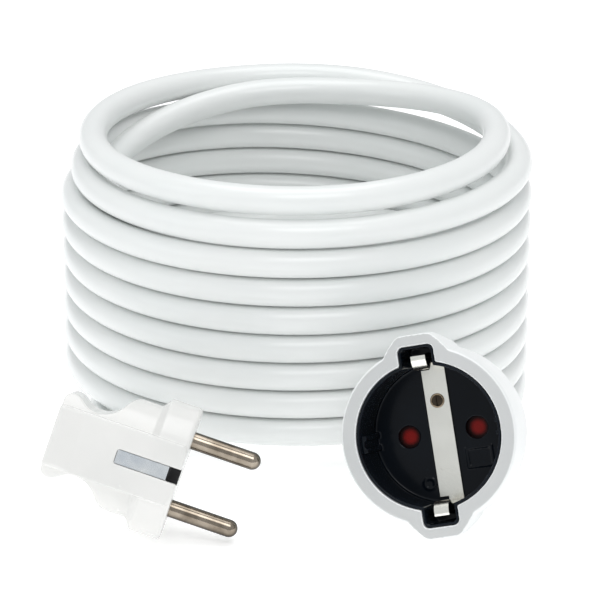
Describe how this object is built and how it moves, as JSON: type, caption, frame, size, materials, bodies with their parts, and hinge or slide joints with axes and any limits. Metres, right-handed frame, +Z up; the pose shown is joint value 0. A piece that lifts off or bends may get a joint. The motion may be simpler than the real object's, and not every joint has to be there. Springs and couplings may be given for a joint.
{
  "type": "extension cord",
  "caption": "Coiled round white cable with an earthed two-pin plug at one end and an eared, shuttered coupler socket at the other.",
  "frame": {"origin": "bottom centre of the whole object's box, on the ground", "axes": "+X to the right, +Y to the back of the coil, +Z up along the coil's axis; plug and socket lie at the front, towards -Y"},
  "size_m": [0.137, 0.1934, 0.0838],
  "materials": {
    "cable_sheath": "soft white PVC, semi gloss",
    "screw_steel": "zinc plated steel",
    "nickel_strip": "nickel plated strip",
    "plug_plastic": "bright white moulded plastic",
    "copper": "bare copper strands",
    "core_blue": "smooth PVC",
    "core_brown": "smooth PVC",
    "core_green_yellow": "smooth PVC, green with a yellow stripe",
    "nickel_pins": "nickel plated brass",
    "bushing_rubber": "white soft rubber",
    "carrier_plastic": "black thermoset",
    "contact_brass": "bare brass",
    "socket_plastic": "light grey-white moulded plastic",
    "insert_plastic": "glossy black moulded plastic",
    "shutter_plastic": "red moulded plastic"
  },
  "bodies": {
    "cable_coil": {"coil_cable": "cable_sheath"},
    "plug": {"plug_centre_screw": "screw_steel", "plug_clamp_screws": "screw_steel", "plug_cord_clamp": "screw_steel", "plug_earth_screw": "screw_steel", "plug_earth_strap": "nickel_strip", "plug_insert": "plug_plastic", "plug_lead_conductors": "copper", "plug_lead_core_blue": "core_blue", "plug_lead_core_brown": "core_brown", "plug_lead_core_earth": "core_green_yellow", "plug_lead_sheath": "cable_sheath", "plug_pin_live": "nickel_pins", "plug_pin_neutral": "nickel_pins", "plug_pin_screws": "screw_steel", "plug_shell": "plug_plastic"},
    "shutter": {"socket_shutter": "shutter_plastic"},
    "clip_upper": {"socket_clip_upper": "nickel_strip"},
    "clip_lower": {"socket_clip_lower": "nickel_strip"},
    "socket": {"socket_bushing": "bushing_rubber", "socket_carrier": "carrier_plastic", "socket_clamp_screws": "screw_steel", "socket_contact_live": "contact_brass", "socket_contact_neutral": "contact_brass", "socket_contact_screws": "screw_steel", "socket_cord_clamp": "screw_steel", "socket_earth_block": "contact_brass", "socket_earth_strap": "nickel_strip", "socket_fixing_screw": "screw_steel", "socket_front_shell": "socket_plastic", "socket_insert": "insert_plastic", "socket_lead_conductors": "copper", "socket_lead_core_blue": "core_blue", "socket_lead_core_brown": "core_brown", "socket_lead_core_earth": "core_green_yellow", "socket_lead_sheath": "cable_sheath", "socket_rear_shell": "socket_plastic", "socket_shutter_spring": "screw_steel"}
  },
  "joints": [
    {"name": "plug_lead_swing", "type": "hinge", "parent": "cable_coil", "child": "plug", "pos_m": [-0.0557, -0.0367, 0.01015], "axis": [0, 0, 1], "range_deg": [-30, 12]},
    {"name": "socket_lead_swing", "type": "hinge", "parent": "cable_coil", "child": "socket", "pos_m": [0.0566, -0.0087, 0.00425], "axis": [0, 0, 1], "range_deg": [0, 30]},
    {"name": "shutter_turn", "type": "hinge", "parent": "socket", "child": "shutter", "pos_m": [0.04034, -0.06012, 0.02228], "axis": [-0.272, -0.9089, 0.316], "range_deg": [0, 42], "stiffness_Nm_per_rad": 0.004, "springref_deg": -11.46},
    {"name": "upper_clip_flex", "type": "hinge", "parent": "socket", "child": "clip_upper", "pos_m": [0.03642, -0.0554, 0.04197], "axis": [-0.9502, 0.2017, -0.2376], "range_deg": [0, 4], "stiffness_Nm_per_rad": 0.5, "springref_deg": -1.15},
    {"name": "lower_clip_flex", "type": "hinge", "parent": "socket", "child": "clip_lower", "pos_m": [0.04263, -0.07029, 0.00449], "axis": [0.9502, -0.2017, 0.2376], "range_deg": [0, 4], "stiffness_Nm_per_rad": 0.5, "springref_deg": -1.15}
  ]
}
